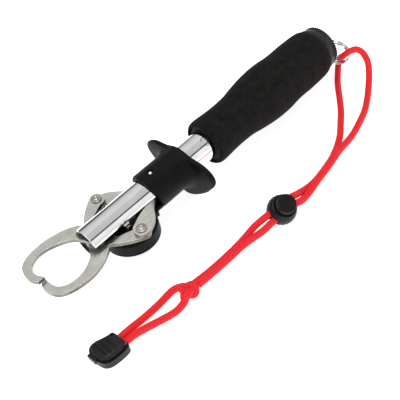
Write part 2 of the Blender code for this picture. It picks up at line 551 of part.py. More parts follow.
def build_lanyard():
    to_knot_a = [(-26.9, 56.8, 2.5), (-38, 57.8, 2.2), (-51, 58.3, 2.2), (-62, 58.3, 2.4), (-70, 58.6, 3.9)]
    to_knot_a += [(-76.5, 59.6, 6.6), (-81.0, 61.4, 9.0)]
    to_knot_b = [(-26.9, 60.8, 4.5), (-38, 61.7, 4.7), (-51, 62.2, 4.7), (-62, 62.4, 4.9), (-70, 63.7, 5.2)]
    to_knot_b += [(-77.5, 66.0, 6.6)]
    up = BUTTON_AXIS.normalized()
    along = (CORD_WAY - CORD_WAY.dot(up) * up).normalized()
    beside = up.cross(along)
    through_a = [tuple(LOCK + s * along - 2.42 * beside) for s in (10, 0, -10)]
    through_b = [tuple(LOCK + s * along + 2.42 * beside) for s in (10, 0, -10)]
    near_a = [(-109.8, 64.6, 8.4), (-116.8, 63.4, 4.8), (-123.2, 63.0, 2.8), (-129.5, 62.7, 2.2)]
    near_a += [(-135, 62.1, 2.2), (-141.5, 61.0, 2.2), (-149.2, 59.4, 2.2), (-154.8, 57.7, 2.2)]
    near_a += [(-161.5, 55.0, 2.2)]
    near_b = [(-108.8, 69.2, 6.6), (-114.2, 68.2, 5.0), (-120.8, 67.2, 5.0), (-126.5, 66.3, 5.6)]
    near_b += [(-133, 65.4, 5.9), (-139.1, 64.5, 6.0), (-146.5, 63.1, 6.0), (-154, 61.2, 5.6)]
    near_b += [(-162.5, 59.3, 4.2)]
    strand_a = [(-168.4, 51.5, 2.2), (-173.5, 48.3, 2.2), (-179.5, 43.9, 2.2), (-189.4, 36.6, 2.2)]
    strand_a += [(-199.3, 27.9, 2.2), (-211.4, 16.9, 2.2), (-221.5, 9.2, 2.3), (-227.2, 5.4, 3.6)]
    turn = [(-230.4, 4.6, 6.6), (-228.4, 7.2, 10.0), (-224.6, 11.0, 13.4), (-222.0, 14.4, 17.6)]
    turn += [(-221.2, 17.9, 21.6), (-223.4, 20.5, 23.6), (-227.2, 22.6, 23.0), (-229.4, 26.0, 19.6)]
    strand_b = [(-228.4, 30.2, 14.6), (-224.6, 33.8, 9.2), (-217.8, 38.1, 4.2), (-208, 44.0, 2.2)]
    strand_b += [(-196.9, 49.8, 2.2), (-180.3, 55.4, 2.2), (-170.5, 57.8, 2.7)]
    path = to_knot_a + through_a + near_a + strand_a + turn + strand_b + near_b[::-1] + through_b[::-1]
    path += to_knot_b[::-1]
    fine = curve_through([lying(*p) for p in path], 12)
    red = (RED, 0.0, 0.8)
    wire("lanyard_loop", thinned(fine), CORD_R, red, 2)

    tail_a = [(-15.6, 50.0, 2.4), (-4.3, 50.5, 2.3), (8.4, 50.3, 2.4), (17.3, 49.6, 2.6), (27.0, 49.3, 2.7)]
    tail_a += [(33.0, 49.3, 2.7)]
    tail_b = [(-12.4, 61.8, 2.5), (-6.2, 62.0, 2.3), (1.8, 59.8, 2.3), (10.8, 56.7, 2.4), (18.9, 54.5, 2.6)]
    tail_b += [(27.0, 53.9, 2.7), (33.0, 53.9, 2.7)]
    wire("lanyard_tail_a", thinned(curve_through([lying(*p) for p in tail_a], 12)), CORD_R, red, 2)
    wire("lanyard_tail_b", thinned(curve_through([lying(*p) for p in tail_b], 12)), CORD_R, red, 2)
    bulge = [(6.5 * math.sin(math.radians(t)), 6.5 * math.cos(math.radians(t))) for t in range(-72, 73, 18)]
    knot = lathe("lanyard_knot", [(-6.5, 0), *bulge, (6.5, 0)], look=red, steps=20)
    flattened = Matrix.Diagonal((1, 1.03, 0.7, 1))
    knot.data.transform(Matrix.Translation(lying(*KNOT)) @ flattened @ ALONG.inverted())


def carry(name, origin, *pieces):
    """Hangs the pieces of one moving body on an empty at its joint."""
    joint = bpy.data.objects.new(name, None)
    joint.location = origin
    joint.empty_display_size = 0.01
    bpy.context.scene.collection.objects.link(joint)
    bpy.context.view_layer.update()
    for piece in pieces:
        thing = bpy.data.objects[piece]
        thing.parent = joint
        thing.matrix_parent_inverse = joint.matrix_world.inverted()


def set_joints():
    carry(
        "scale_slide_axis", at(0, 0, 0), "main_tube", "front_pivot_block", "jaw_pivot_pin", "guide_rod",
        "spring_stop_plug", "scale_collar", "collar_pin",
    )
    carry(
        "trigger_slide_axis", at(LINK_PIN_X, 0, 0), "trigger_body", "slide_block", "link_pin", "tape_case_cover",
        "cover_screw", "tape_spool_pin",
    )
    carry("jaw_right_axis", at(*PIVOT, 0), "jaw_right", "rivet_right")
    carry("jaw_left_axis", at(*PIVOT, 0), "jaw_left", "rivet_left")
    carry("link_right_axis", at(LINK_PIN_X, 0, 0), "link_right")
    carry("link_left_axis", at(LINK_PIN_X, 0, 0), "link_left")
    carry("tape_pull_axis", at(TAPE_X, 0, TAPE_TOP), "tape_blade", "tape_tab")
    carry("tape_spool_axis", at(*DRUM, DRUM_ROOF), "tape_spool", "tape_coil")
    carry("ring_axis", at(*LUG_HOLE), "split_ring")
    carry("lock_button_axis", lying(*LOCK), "cord_lock_button")
    carry("clip_cover_axis", lying(*CLIP_HINGE), "clip_cover")


clear_scene()
build_tube()
build_linkage()
build_trigger()
build_tape()
build_handle()
build_lock()
build_clip()
build_lanyard()
set_joints()
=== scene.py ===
"""Looks of the fish lip grip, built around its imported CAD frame.

Lengths in the tables are millimetres: X along the tool from the tube's mouth towards the jaw tips, Y towards
the lanyard, and either Z from the tube's axis or the height above the floor for what lies on it.
"""

import json
import math

import bmesh
import bpy
from mathutils import Matrix, Vector
from mathutils.geometry import tessellate_polygon


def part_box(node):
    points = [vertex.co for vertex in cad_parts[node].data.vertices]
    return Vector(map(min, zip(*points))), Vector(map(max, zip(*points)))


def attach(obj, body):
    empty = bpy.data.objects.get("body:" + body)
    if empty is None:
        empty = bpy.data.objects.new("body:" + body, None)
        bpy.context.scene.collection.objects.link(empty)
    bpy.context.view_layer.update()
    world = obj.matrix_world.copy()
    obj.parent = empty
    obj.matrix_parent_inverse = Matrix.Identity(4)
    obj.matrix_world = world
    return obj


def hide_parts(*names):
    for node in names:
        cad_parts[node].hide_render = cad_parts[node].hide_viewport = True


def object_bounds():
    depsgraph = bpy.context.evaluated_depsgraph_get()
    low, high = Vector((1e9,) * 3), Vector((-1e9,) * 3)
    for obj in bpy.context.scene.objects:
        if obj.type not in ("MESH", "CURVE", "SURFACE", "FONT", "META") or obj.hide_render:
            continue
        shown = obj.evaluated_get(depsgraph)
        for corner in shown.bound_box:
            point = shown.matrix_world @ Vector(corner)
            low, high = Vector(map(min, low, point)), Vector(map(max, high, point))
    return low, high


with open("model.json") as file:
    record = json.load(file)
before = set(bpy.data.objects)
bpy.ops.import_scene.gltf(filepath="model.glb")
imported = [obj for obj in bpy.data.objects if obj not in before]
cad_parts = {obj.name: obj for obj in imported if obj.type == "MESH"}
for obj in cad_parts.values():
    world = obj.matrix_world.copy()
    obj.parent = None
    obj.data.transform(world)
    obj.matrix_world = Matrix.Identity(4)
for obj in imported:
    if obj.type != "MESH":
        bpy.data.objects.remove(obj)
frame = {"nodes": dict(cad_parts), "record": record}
cad_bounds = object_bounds()

MM = 0.001
TUBE_LOW, TUBE_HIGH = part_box("main_tube")
MOUTH = Vector((TUBE_HIGH.x, (TUBE_LOW.y + TUBE_HIGH.y) / 2, (TUBE_LOW.z + TUBE_HIGH.z) / 2))
FLOOR = cad_bounds[0][2]

CAMERA_AT = Vector((0.23801, 0.32347, 0.38228))
CAMERA_RIGHT = Vector((-0.6838, 0.7064, -0.1830))
CAMERA_FORWARD = Vector((-0.4073, -0.5775, -0.7075))
LENS = 77.23

CORD_R = 2.2
LOCK = Vector((-94.9, 66.0, 9.3))
LOCK_R = 9.2
BUTTON_AXIS = Vector((0.038, 0.530, 0.848))
CORD_WAY = Vector((1.0, -0.092, 0.013))
BUTTON_R, BUTTON_TOP, BUTTON_FOOT = 6.0, 11.6, -3.6
KNOT = Vector((-19.8, 59.1, 4.7))
CLIP_HINGE = (27.4, 51.65, 6.0)
TIP_FROM, TIP_REACH, TIP_OVERLAP = (30.0, 0, 0), 0.6 * MM, 0.7 * MM
LUG_HOLE = Vector((-219.5, 0.3, -0.3))
RING_CENTRE = Vector((-223.1, 7.2, -7.0))
RING_NORMAL = Vector((-0.933, -0.318, 0.169))
RING_R, RING_WIRE = 10.3, 0.75
CORD_STEP = 0.6 * MM
SMUDGE = 9.0
HORIZON = 12.0
FLOOR_GLOW = 0.78

# The sky's brightness along Y, from 0 on the far side to 1 on the lanyard's side. The narrow dark band makes
# the line that runs down the polished tube. Each stop is a place from 0 to 1 and a brightness.
SKY = [(0.0, 0.05), (0.05, 0.10), (0.09, 0.55), (0.20, 0.72), (0.40, 0.80), (0.50, 0.64), (0.79, 0.60)]
SKY += [(0.812, 0.04), (0.845, 0.04), (0.865, 1.0), (0.95, 1.0), (1.0, 0.6)]


def at(x, y, z):
    """A point measured from the tube's mouth and axis."""
    return MOUTH + Vector((x, y, z)) * MM


def lying(x, y, h):
    """A point measured along the tool and up from the floor."""
    return Vector((MOUTH.x + x * MM, MOUTH.y + y * MM, FLOOR + h * MM))


def placement(origin, forward, side=None):
    """Placement whose local X points forward and local Y leans to side."""
    x = Vector(forward).normalized()
    hint = Vector(side) if side else Vector((0, 0, 1)).cross(x)
    z = x.cross(hint).normalized()
    y = z.cross(x)
    return Matrix.Translation(origin) @ Matrix((x, y, z)).transposed().to_4x4()


ALONG = placement(at(0, 0, 0), (1, 0, 0), (0, 1, 0))
UPRIGHT = Matrix.Translation(at(0, 0, 0))
STANDING = Matrix.Translation(lying(0, 0, 0))


# ---- materials -------------------------------------------------------------------------------------------

def add(tree, kind, **values):
    """A new node with its inputs set by name, or its settings where no input has that name."""
    node = tree.nodes.new(kind)
    for name, value in values.items():
        socket = node.inputs.get(name.replace("_", " ").title())
        if socket is not None and name not in ("operation", "data_type", "feature", "blend_type"):
            socket.default_value = value
        else:
            setattr(node, name, value)
    return node


def noise_at(tree, size, stretch=(1, 1, 1), detail=3.0):
    """Noise whose features are about size millimetres across, longer along an axis with a smaller stretch."""
    place = add(tree, "ShaderNodeTexCoord")
    scaled = add(tree, "ShaderNodeMapping")
    scaled.inputs["Scale"].default_value = [s / (size * MM) for s in stretch]
    tree.links.new(place.outputs["Object"], scaled.inputs["Vector"])
    noise = add(tree, "ShaderNodeTexNoise", scale=1.0, detail=detail, roughness=0.55)
    tree.links.new(scaled.outputs["Vector"], noise.inputs["Vector"])
    return noise.outputs["Fac"]


def spread(tree, source, low, high, start=0.3, end=0.7):
    """Maps a 0 to 1 pattern onto low to high."""
    ranged = add(tree, "ShaderNodeMapRange")
    for name, value in (("From Min", start), ("From Max", end), ("To Min", low), ("To Max", high)):
        ranged.inputs[name].default_value = value
    tree.links.new(source, ranged.inputs["Value"])
    return ranged.outputs["Result"]


def blended(tree, factor, dark, light):
    """A colour between dark and light."""
    mix = add(tree, "ShaderNodeMix", data_type="RGBA")
    for socket in mix.inputs:
        if socket.name == "A" and socket.type == "RGBA":
            socket.default_value = (*dark, 1.0)
        if socket.name == "B" and socket.type == "RGBA":
            socket.default_value = (*light, 1.0)
    tree.links.new(factor, mix.inputs["Factor"])
    return [out for out in mix.outputs if out.type == "RGBA"][0]


def raised(tree, height, distance, strength=1.0, under=None):
    """Bump of the height pattern, distance millimetres deep, over another normal if there is one."""
    bump = add(tree, "ShaderNodeBump", strength=strength, distance=distance * MM)
    tree.links.new(height, bump.inputs["Height"])
    if under is not None:
        tree.links.new(under, bump.inputs["Normal"])
    return bump.outputs["Normal"]


def softened(tree, radius):
    """Normal with the edges rounded by radius millimetres."""
    return add(tree, "ShaderNodeBevel", radius=radius * MM, samples=6).outputs["Normal"]


def base_material(name, metal=0.0, specular=0.5):
    made = bpy.data.materials.new(name)
    made.use_nodes = True
    tree = made.node_tree
    shader = tree.nodes["Principled BSDF"]
    shader.inputs["Metallic"].default_value = metal
    shader.inputs["Specular IOR Level"].default_value = specular
    return made, tree, shader


def metal_material(name, dark, light, rough, grain=0.35, stretch=(1, 1, 1), depth=0.01, edge=0.0):
    """Steel: its tint and polish drift over SMUDGE millimetres, and a fine grain runs as stretch says."""
    made, tree, shader = base_material(name, metal=1.0)
    cloud = noise_at(tree, SMUDGE, detail=2.0)
    fine = noise_at(tree, grain, stretch, detail=4.0)
    tree.links.new(blended(tree, spread(tree, cloud, 0.0, 1.0), dark, light), shader.inputs["Base Color"])
    both = add(tree, "ShaderNodeMath", operation="MULTIPLY")
    tree.links.new(spread(tree, cloud, 0.85, 1.15), both.inputs[0])
    tree.links.new(spread(tree, fine, rough * 0.75, rough * 1.3), both.inputs[1])
    tree.links.new(both.outputs["Value"], shader.inputs["Roughness"])
    under = softened(tree, edge) if edge else None
    tree.links.new(raised(tree, fine, depth, 1.0, under), shader.inputs["Normal"])
    return made


def plastic_material(name, dark, light, rough, grain=0.25, depth=0.02, specular=0.3, edge=0.3):
    """Moulded plastic with a fine spark texture, slightly uneven in tint and gloss."""
    made, tree, shader = base_material(name, specular=specular)
    cloud = noise_at(tree, 7.0, detail=3.0)
    fine = noise_at(tree, grain, detail=3.0)
    tree.links.new(blended(tree, spread(tree, cloud, 0.0, 1.0), dark, light), shader.inputs["Base Color"])
    both = add(tree, "ShaderNodeMath", operation="MULTIPLY")
    tree.links.new(spread(tree, cloud, 0.9, 1.12), both.inputs[0])
    tree.links.new(spread(tree, fine, rough * 0.85, rough * 1.15), both.inputs[1])
    tree.links.new(both.outputs["Value"], shader.inputs["Roughness"])
    under = softened(tree, edge) if edge else None
    tree.links.new(raised(tree, fine, depth, 1.0, under), shader.inputs["Normal"])
    return made


def foam_material(name):
    """Closed-cell foam rubber: ground cells, lighter where their walls catch the light."""
    made, tree, shader = base_material(name, specular=0.12)
    place = add(tree, "ShaderNodeTexCoord")
    scaled = add(tree, "ShaderNodeMapping")
    scaled.inputs["Scale"].default_value = (1 / (0.55 * MM),) * 3
    tree.links.new(place.outputs["Object"], scaled.inputs["Vector"])
    cells = add(tree, "ShaderNodeTexVoronoi", feature="F1", scale=1.0)
    tree.links.new(scaled.outputs["Vector"], cells.inputs["Vector"])
    fine = noise_at(tree, 0.35, detail=4.0)
    cloud = noise_at(tree, 5.0, detail=4.0)
    walls = add(tree, "ShaderNodeMath", operation="MULTIPLY")
    tree.links.new(spread(tree, cells.outputs["Distance"], 0.15, 1.0, 0.1, 0.75), walls.inputs[0])
    tree.links.new(spread(tree, fine, 0.4, 1.0), walls.inputs[1])
    both = add(tree, "ShaderNodeMath", operation="MULTIPLY")
    tree.links.new(walls.outputs["Value"], both.inputs[0])
    tree.links.new(spread(tree, cloud, 0.35, 1.0), both.inputs[1])
    tint = blended(tree, both.outputs["Value"], (0.0025, 0.0025, 0.0023), (0.026, 0.0255, 0.024))
    tree.links.new(tint, shader.inputs["Base Color"])
    tree.links.new(spread(tree, fine, 0.8, 1.0), shader.inputs["Roughness"])
    tree.links.new(raised(tree, walls.outputs["Value"], 0.12, 0.7), shader.inputs["Normal"])
    return made


def cord_material(name, carriers, pick):
    """Braided polyester, its colour darker in the grooves between strands as painted shade. The UV map runs once
    round the cord and along it in millimetres.
    """
    made, tree, shader = base_material(name, specular=0.18)
    place = add(tree, "ShaderNodeTexCoord")
    parts = add(tree, "ShaderNodeSeparateXYZ")
    tree.links.new(place.outputs["UV"], parts.inputs["Vector"])
    waves = []
    for hand in (1, -1):
        around = add(tree, "ShaderNodeMath", operation="MULTIPLY")
        around.inputs[1].default_value = 2 * math.pi * carriers
        tree.links.new(parts.outputs["X"], around.inputs[0])
        turned = add(tree, "ShaderNodeMath", operation="MULTIPLY_ADD")
        turned.inputs[1].default_value = hand * 2 * math.pi / pick
        tree.links.new(parts.outputs["Y"], turned.inputs[0])
        tree.links.new(around.outputs["Value"], turned.inputs[2])
        wave = add(tree, "ShaderNodeMath", operation="SINE")
        tree.links.new(turned.outputs["Value"], wave.inputs[0])
        waves.append(wave.outputs["Value"])
    weave = add(tree, "ShaderNodeMath", operation="MAXIMUM")
    tree.links.new(waves[0], weave.inputs[0])
    tree.links.new(waves[1], weave.inputs[1])
    # Painted shade: the red is darkened where the weave dips between strands. The fibre fuzz multiplied in below
    # is random tone, and the same product also drives the bump.
    shade = spread(tree, weave.outputs["Value"], 0.0, 1.0, -0.7, 0.9)
    fibres = noise_at(tree, 0.12, detail=3.0)
    cloud = noise_at(tree, 5.0, detail=2.0)
    fuzz = add(tree, "ShaderNodeMath", operation="MULTIPLY")
    tree.links.new(spread(tree, fibres, 0.7, 1.0), fuzz.inputs[0])
    tree.links.new(spread(tree, cloud, 0.85, 1.0), fuzz.inputs[1])
    shade_and_fuzz = add(tree, "ShaderNodeMath", operation="MULTIPLY")
    tree.links.new(shade, shade_and_fuzz.inputs[0])
    tree.links.new(fuzz.outputs["Value"], shade_and_fuzz.inputs[1])
    tint = blended(tree, shade_and_fuzz.outputs["Value"], (0.74, 0.012, 0.020), (0.96, 0.038, 0.050))
    tree.links.new(tint, shader.inputs["Base Color"])
    tree.links.new(spread(tree, fibres, 0.6, 0.85), shader.inputs["Roughness"])
    tree.links.new(raised(tree, shade_and_fuzz.outputs["Value"], 0.10, 0.8), shader.inputs["Normal"])
    return made


CARRIERS, PICK = 8, 1.9
POLISHED = metal_material(
    "polished_steel", (0.80, 0.80, 0.81), (0.88, 0.88, 0.88),
    rough=0.075, grain=0.12, stretch=(0.05, 1, 1), depth=0.0008,
)
EDGE = metal_material(
    "polished_edge", (0.84, 0.84, 0.81), (0.94, 0.94, 0.91),
    rough=0.14, grain=0.2, stretch=(1, 1, 1), depth=0.001,
)
# Sideways faces of the jaws and links: a rougher blanked finish, with painted shade. Their colour is made dark
# so that the walls look shaded.
BLANKED_WALL_PAINTED_SHADE = metal_material(
    "blanked_edge", (0.13, 0.13, 0.12), (0.30, 0.30, 0.27),
    rough=0.32, grain=0.3, stretch=(1, 1, 0.1), depth=0.006,
)
SATIN = metal_material(
    "satin_steel", (0.64, 0.63, 0.575), (0.78, 0.77, 0.71),
    rough=0.27, grain=0.16, stretch=(1, 0.35, 1), depth=0.001, edge=0.15,
)
RIVET = metal_material(
    "rivet_steel", (0.34, 0.335, 0.32), (0.52, 0.515, 0.49),
    rough=0.2, grain=0.2, stretch=(1, 1, 1), depth=0.002,
)
PLATED = metal_material(
    "plated_steel", (0.40, 0.40, 0.40), (0.58, 0.58, 0.58),
    rough=0.2, grain=0.25, stretch=(1, 1, 1), depth=0.004, edge=0.12,
)
SPRING = metal_material(
    "spring_steel", (0.40, 0.40, 0.42), (0.56, 0.56, 0.57),
    rough=0.24, grain=0.2, stretch=(1, 1, 1), depth=0.003,
)
NYLON = plastic_material(
    "black_nylon", (0.003, 0.003, 0.003), (0.006, 0.006, 0.006),
    rough=0.50, grain=0.22, depth=0.018, specular=0.11, edge=0.45,
)
BAND = plastic_material(
    "band_plastic", (0.010, 0.010, 0.0105), (0.018, 0.018, 0.0185),
    rough=0.36, grain=0.3, depth=0.008, specular=0.30, edge=0.25,
)
LOCK_BLACK = plastic_material(
    "lock_plastic", (0.004, 0.004, 0.0045), (0.008, 0.008, 0.0085),
    rough=0.40, grain=0.25, depth=0.015, specular=0.20, edge=0.2,
)
CLIP_BLACK = plastic_material(
    "clip_plastic", (0.006, 0.006, 0.0065), (0.011, 0.011, 0.0115),
    rough=0.36, grain=0.25, depth=0.014, specular=0.24, edge=0.2,
)
ENAMEL = plastic_material(
    "tape_enamel", (0.62, 0.46, 0.05), (0.75, 0.58, 0.09),
    rough=0.34, grain=0.3, depth=0.006, specular=0.5, edge=0.05,
)
FOAM = foam_material("black_foam")
BRAID = cord_material("red_braid", CARRIERS, PICK)
INK = plastic_material(
    "mark_ink", (0.03, 0.03, 0.032), (0.06, 0.06, 0.062),
    rough=0.6, grain=0.15, depth=0.004, specular=0.3, edge=0.0,
)

SLOT_LOOKS = {
    "polished_stainless": POLISHED, "satin_stainless": SATIN, "plated_steel": PLATED, "spring_steel": SPRING,
    "black_nylon": NYLON, "cap_plastic": BAND, "black_foam": FOAM, "tape_enamel": ENAMEL, "red_braid": BRAID,
    "lock_plastic": LOCK_BLACK, "clip_plastic": CLIP_BLACK,
}


# ---- shape tools -----------------------------------------------------------------------------------------

def link(name, data):
    made = bpy.data.objects.new(name, data)
    bpy.context.scene.collection.objects.link(made)
    return made


def solid(name, points, faces, look=None):
    """A closed mesh with its faces turned outwards. A body with no look is a cutter."""
    shape = bmesh.new()
    verts = [shape.verts.new(p) for p in points]
    for face in faces:
        shape.faces.new([verts[i] for i in face])
    bmesh.ops.recalc_face_normals(shape, faces=shape.faces)
    data = bpy.data.meshes.new(name)
    shape.to_mesh(data)
    shape.free()
    data.shade_smooth()
    data.set_sharp_from_angle(angle=math.radians(32))
    if look is not None:
        data.materials.append(look)
    return link(name, data)


def lathe(name, profile, place=ALONG, look=None, steps=64, ripple=None):
    """Turns a closed (along, radius) outline about the placement's local X. Ripple changes a radius by angle."""
    points, rings = [], []
    for along, radius in profile:
        if radius == 0:
            rings.append([len(points)])
            points.append(place @ (Vector((along, 0, 0)) * MM))
            continue
        rings.append(range(len(points), len(points) + steps))
        for i in range(steps):
            a = 2 * math.pi * i / steps
            r = radius if ripple is None else ripple(along, radius, a)
            points.append(place @ (Vector((along, r * math.cos(a), r * math.sin(a))) * MM))
    faces = []
    for here, there in zip(rings, rings[1:] + rings[:1]):
        for i in range(steps):
            j = (i + 1) % steps
            if len(here) > 1 and len(there) > 1:
                faces.append((here[i], here[j], there[j], there[i]))
            elif len(here) > 1:
                faces.append((here[i], here[j], there[0]))
            elif len(there) > 1:
                faces.append((here[0], there[j], there[i]))
    return solid(name, points, faces, look)


def rod(name, radius, start, end, place=ALONG, look=None, steps=40):
    return lathe(name, [(start, 0), (start, radius), (end, radius), (end, 0)], place, look, steps)


def layered(name, layers, place=UPRIGHT, look=None):
    """A solid through outlines of one length, each with its own height, its two ends filled."""
    count = len(layers[0][1])
    points = [place @ (Vector((x, y, level)) * MM) for level, loop in layers for x, y in loop]
    caps = tessellate_polygon([[Vector((x, y, 0)) for x, y in layers[0][1]]])
    last = (len(layers) - 1) * count
    top = tessellate_polygon([[Vector((x, y, 0)) for x, y in layers[-1][1]]])
    faces = [tuple(cap) for cap in caps] + [tuple(i + last for i in reversed(cap)) for cap in top]
    for k in range(len(layers) - 1):
        for i in range(count):
            j = (i + 1) % count
            faces.append((k * count + i, k * count + j, (k + 1) * count + j, (k + 1) * count + i))
    return solid(name, points, faces, look)


def box(name, low, high, place=UPRIGHT, look=None):
    outline = [(low[0], low[1]), (high[0], low[1]), (high[0], high[1]), (low[0], high[1])]
    return layered(name, [(low[2], outline), (high[2], outline)], place, look)


def curve_through(points, parts):
    """Catmull-Rom curve through every point given."""
    points = [Vector(p) for p in points]
    ends = [2 * points[0] - points[1], *points, 2 * points[-1] - points[-2]]
    made = []
    for a, b, c, d in zip(ends, ends[1:], ends[2:], ends[3:]):
        for i in range(parts):
            t = i / parts
            square, cube = 2 * a - 5 * b + 4 * c - d, 3 * b - a - 3 * c + d
            made.append(0.5 * (2 * b + (c - a) * t + square * t * t + cube * t**3))
    return [*made, points[-1]]


def closed_curve(points, parts):
    """Catmull-Rom curve round a ring of points."""
    count = len(points)
    made = []
    for k in range(count):
        a, b, c, d = (Vector(points[(k + n) % count]) for n in (-1, 0, 1, 2))
        for i in range(parts):
            t = i / parts
            square, cube = 2 * a - 5 * b + 4 * c - d, 3 * b - a - 3 * c + d
            made.append(0.5 * (2 * b + (c - a) * t + square * t * t + cube * t**3))
    return made


def inset(loop, distance):
    """The outline moved inwards by distance millimetres."""
    made = []
    count = len(loop)
    middle = Vector((sum(p[0] for p in loop), sum(p[1] for p in loop))) / count
    for i in range(count):
        before, after = Vector(loop[i - 1][:2]), Vector(loop[(i + 1) % count][:2])
        tangent = (after - before).normalized()
        normal = Vector((-tangent.y, tangent.x))
        here = Vector(loop[i][:2])
        if normal.dot(middle - here) < 0:
            normal = -normal
        made.append(tuple(here + normal * distance))
    return made


def even_steps(points, step):
    """The same line with points step metres apart."""
    made, left = [points[0]], step
    for here, there in zip(points, points[1:]):
        run = (there - here).length
        gone = 0.0
        while run - gone >= left:
            gone += left
            made.append(here.lerp(there, gone / run))
            left = step
        left -= run - gone
    if (made[-1] - points[-1]).length > step * 0.3:
        made.append(points[-1])
    return made


def tube_mesh(name, points, radius, sides, look, relief=None, closed=False):
    """A round tube along points in metres, with a UV map round it and along it in millimetres."""
    count = len(points)
    tangents = []
    for i in range(count):
        before = points[i - 1] if closed or i else points[0]
        after = points[(i + 1) % count] if closed or i < count - 1 else points[-1]
        tangents.append((after - before).normalized())
    side = tangents[0].orthogonal().normalized()
    shape = bmesh.new()
    rings, runs, run = [], [], 0.0
    for i, (spot, tangent) in enumerate(zip(points, tangents)):
        side = (side - side.dot(tangent) * tangent).normalized()
        other = tangent.cross(side)
        if i:
            run += (spot - points[i - 1]).length / MM
        ring = []
        for k in range(sides):
            a = 2 * math.pi * k / sides
            r = radius * MM + (relief(k / sides, run) * MM if relief else 0.0)
            ring.append(shape.verts.new(spot + r * (math.cos(a) * side + math.sin(a) * other)))
        rings.append(ring)
        runs.append(run)
    layer = shape.loops.layers.uv.new("UVMap")
    pairs = list(zip(range(count), range(1, count)))
    if closed:
        pairs.append((count - 1, 0))
        runs.append(run + (points[0] - points[-1]).length / MM)
    for here, there in pairs:
        far = runs[here + 1] if here + 1 < len(runs) else runs[there]
        for k in range(sides):
            n = (k + 1) % sides
            face = shape.faces.new((rings[here][k], rings[here][n], rings[there][n], rings[there][k]))
            spots = ((k, runs[here]), (k + 1, runs[here]), (k + 1, far), (k, far))
            for loop, (u, v) in zip(face.loops, spots):
                loop[layer].uv = (u / sides, v)
    if not closed:
        for ring, turn in ((rings[0], True), (rings[-1], False)):
            middle = shape.verts.new(sum((v.co for v in ring), Vector()) / sides)
            for k in range(sides):
                pair = (ring[(k + 1) % sides], ring[k]) if turn else (ring[k], ring[(k + 1) % sides])
                shape.faces.new((*pair, middle))
    bmesh.ops.recalc_face_normals(shape, faces=shape.faces)
    data = bpy.data.meshes.new(name)
    shape.to_mesh(data)
    shape.free()
    data.shade_smooth()
    data.materials.append(look)
    return link(name, data)


def apply_modifiers(piece):
    """Leaves the piece with the mesh that its modifiers make."""
    graph = bpy.context.evaluated_depsgraph_get()
    data = bpy.data.meshes.new_from_object(piece.evaluated_get(graph))
    piece.modifiers.clear()
    piece.data = data


def cut(target, *cutters, operation="DIFFERENCE"):
    """Cuts the target with each cutter, or joins them to it, and removes the cutters."""
    for cutter in cutters:
        made = target.modifiers.new(cutter.name, "BOOLEAN")
        made.operation = operation
        made.solver = "EXACT"
        made.object = cutter
    apply_modifiers(target)
    for cutter in cutters:
        bpy.data.objects.remove(cutter)


def round_edges(piece, width, segments=3, edge_look=None, angle=35.0):
    """Bevels the hard edges by width millimetres, with an edge finish where there is one."""
    if edge_look is not None:
        piece.data.materials.append(edge_look)
    bevel = piece.modifiers.new("round_edges", "BEVEL")
    bevel.width = width * MM
    bevel.segments = segments
    bevel.limit_method = "ANGLE"
    bevel.angle_limit = math.radians(angle)
    bevel.use_clamp_overlap = True
    bevel.material = len(piece.data.materials) - 1 if edge_look is not None else -1
    bevel.harden_normals = False
    piece.data.shade_smooth()
    piece.modifiers.new("even_normals", "WEIGHTED_NORMAL").keep_sharp = False
    return piece


def welded_copy(node, name, look):
    """A copy of a CAD node's mesh with its split vertices joined and its flat faces whole."""
    data = frame["nodes"][node].data.copy()
    data.materials.clear()
    shape = bmesh.new()
    shape.from_mesh(data)
    bmesh.ops.remove_doubles(shape, verts=shape.verts, dist=0.002 * MM)
    bmesh.ops.dissolve_limit(
        shape, angle_limit=math.radians(0.6), verts=shape.verts, edges=shape.edges,
        use_dissolve_boundaries=False,
    )
    shape.to_mesh(data)
    shape.free()
    for face in data.polygons:
        face.material_index = 0
    if data.has_custom_normals:
        bpy.context.view_layer.update()
        data.normals_split_custom_set([(0.0, 0.0, 0.0)] * len(data.loops))
    data.materials.append(look)
    return link(name, data)


def stand_in(piece, slot, body, *replaced):
    """The piece rides on the body and stands for the replaced CAD nodes, which it hides. The slot argument is
    not used.
    """
    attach(piece, body)
    if replaced:
        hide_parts(*replaced)
    return piece


# ---- camera and studio -----------------------------------------------------------------------------------

def set_camera():
    lens = bpy.data.cameras.new("camera")
    lens.lens = LENS
    lens.sensor_width = 36.0
    lens.clip_start, lens.clip_end = 0.01, 60.0
    seen = link("camera", lens)
    forward = CAMERA_FORWARD.normalized()
    right = (CAMERA_RIGHT - CAMERA_RIGHT.dot(forward) * forward).normalized()
    up = right.cross(forward)
    turn = Matrix((right, up, -forward)).transposed().to_4x4()
    seen.matrix_world = Matrix.Translation(CAMERA_AT) @ turn
    bpy.context.scene.camera = seen


def area_light(name, spot, aim, size, power):
    light = bpy.data.lights.new(name, "AREA")
    light.shape = "RECTANGLE"
    light.size, light.size_y = size
    light.energy = power
    lamp = link(name, light)
    way = (Vector(aim) - Vector(spot)).normalized()
    lamp.matrix_world = Matrix.Translation(spot) @ way.to_track_quat("-Z", "Y").to_matrix().to_4x4()


